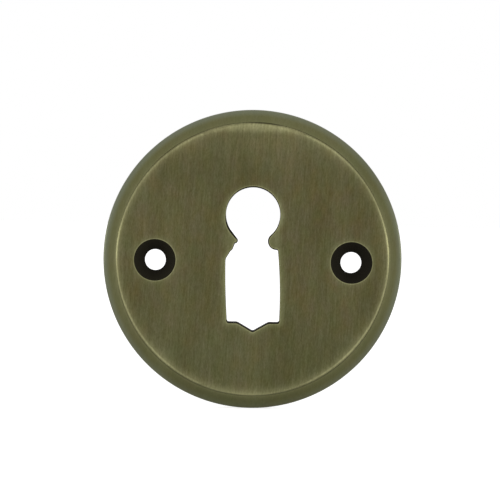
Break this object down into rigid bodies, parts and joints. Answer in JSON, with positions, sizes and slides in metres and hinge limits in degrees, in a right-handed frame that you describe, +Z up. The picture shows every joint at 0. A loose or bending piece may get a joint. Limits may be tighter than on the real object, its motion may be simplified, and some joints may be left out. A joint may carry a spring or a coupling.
{
  "type": "keyhole escutcheon",
  "caption": "Round flat brass plate that trims and protects a keyhole, with a raised disc, a bit-key opening and countersunk screw holes.",
  "frame": {"origin": "centre of the round plate on its flat back face, which lies against the door or drawer front", "axes": "+Y into the door, normal to the back face; +Z up as fixed, towards the keyhole's round head; +X to the right seen from the front"},
  "size_m": [0.05, 0.003, 0.05],
  "materials": {
    "antique_brass": "antique brass: darkened olive-brown, brushed up and down, with worn bright edges"
  },
  "bodies": {
    "root": {"escutcheon_plate": "antique_brass"}
  },
  "joints": []
}
